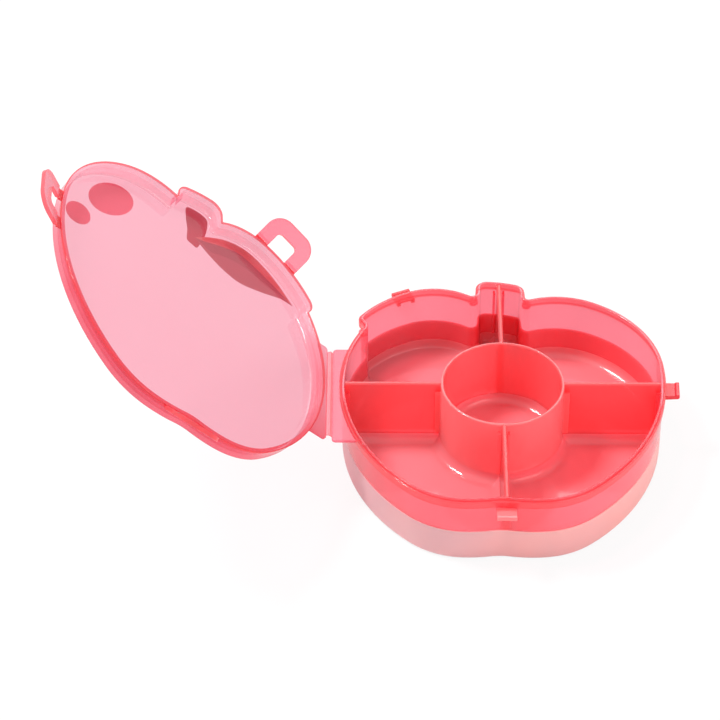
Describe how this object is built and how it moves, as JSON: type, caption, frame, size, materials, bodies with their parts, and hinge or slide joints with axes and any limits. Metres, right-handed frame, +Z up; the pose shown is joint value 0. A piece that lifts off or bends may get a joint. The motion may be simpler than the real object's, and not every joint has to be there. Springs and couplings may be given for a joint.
{
  "type": "toddler snack container",
  "caption": "Fruit-shaped divided snack box with a centre cup, folded-back hinged lid and snap latches.",
  "frame": {"origin": "centre of the cup on the underside of the base, on the table", "axes": "+Z up; +X towards the right catch, away from the lid hinge; +Y towards the stem of the fruit outline"},
  "size_m": [0.3184, 0.1955, 0.1714],
  "materials": {
    "coral": "glossy translucent polypropylene",
    "pale_pink": "satin, milky",
    "film_pink": "stress-whitened living hinge",
    "latch_pink": "glossy translucent polypropylene",
    "print_stem": "pad-printed ink",
    "print_leaf": "pad-printed ink",
    "print_white": "pad-printed ink"
  },
  "bodies": {
    "base": {"tub": "coral", "lower_shell": "pale_pink", "center_cup": "coral", "divider_left": "coral", "divider_right": "coral", "divider_front": "coral", "divider_back": "coral", "catch_right": "coral", "catch_front": "coral", "catch_back": "coral", "base_hinge_flap": "coral", "hinge_film": "film_pink"},
    "lid": {"lid_shell": "coral", "lid_hinge_flap": "coral", "lid_hinge_film": "film_pink", "latch_roots": "coral", "stem_print": "print_stem", "leaf_print_upper": "print_leaf", "leaf_print_middle": "print_leaf", "leaf_print_lower": "print_leaf", "shine_print_large": "print_white", "shine_print_small": "print_white"},
    "latch_right": {"latch_right": "latch_pink"},
    "latch_front": {"latch_front": "latch_pink"},
    "latch_back": {"latch_back": "latch_pink"}
  },
  "joints": [
    {"name": "lid_hinge", "type": "hinge", "parent": "base", "child": "lid", "pos_m": [-0.088, 0, 0.04035], "axis": [0, 1, 0], "range_deg": [-36, 139]},
    {"name": "latch_right_hinge", "type": "hinge", "parent": "lid", "child": "latch_right", "pos_m": [-0.22042, 0.0014, 0.15407], "axis": [-0.0198, 0.9997, 0.0172], "range_deg": [-54, 61]},
    {"name": "latch_front_hinge", "type": "hinge", "parent": "lid", "child": "latch_front", "pos_m": [-0.1551, -0.0905, 0.09729], "axis": [-0.7547, 0, 0.6561], "range_deg": [-62, 53]},
    {"name": "latch_back_hinge", "type": "hinge", "parent": "lid", "child": "latch_back", "pos_m": [-0.11713, 0.07387, 0.06428], "axis": [0.6921, -0.3987, -0.6016], "range_deg": [-66, 49]}
  ]
}
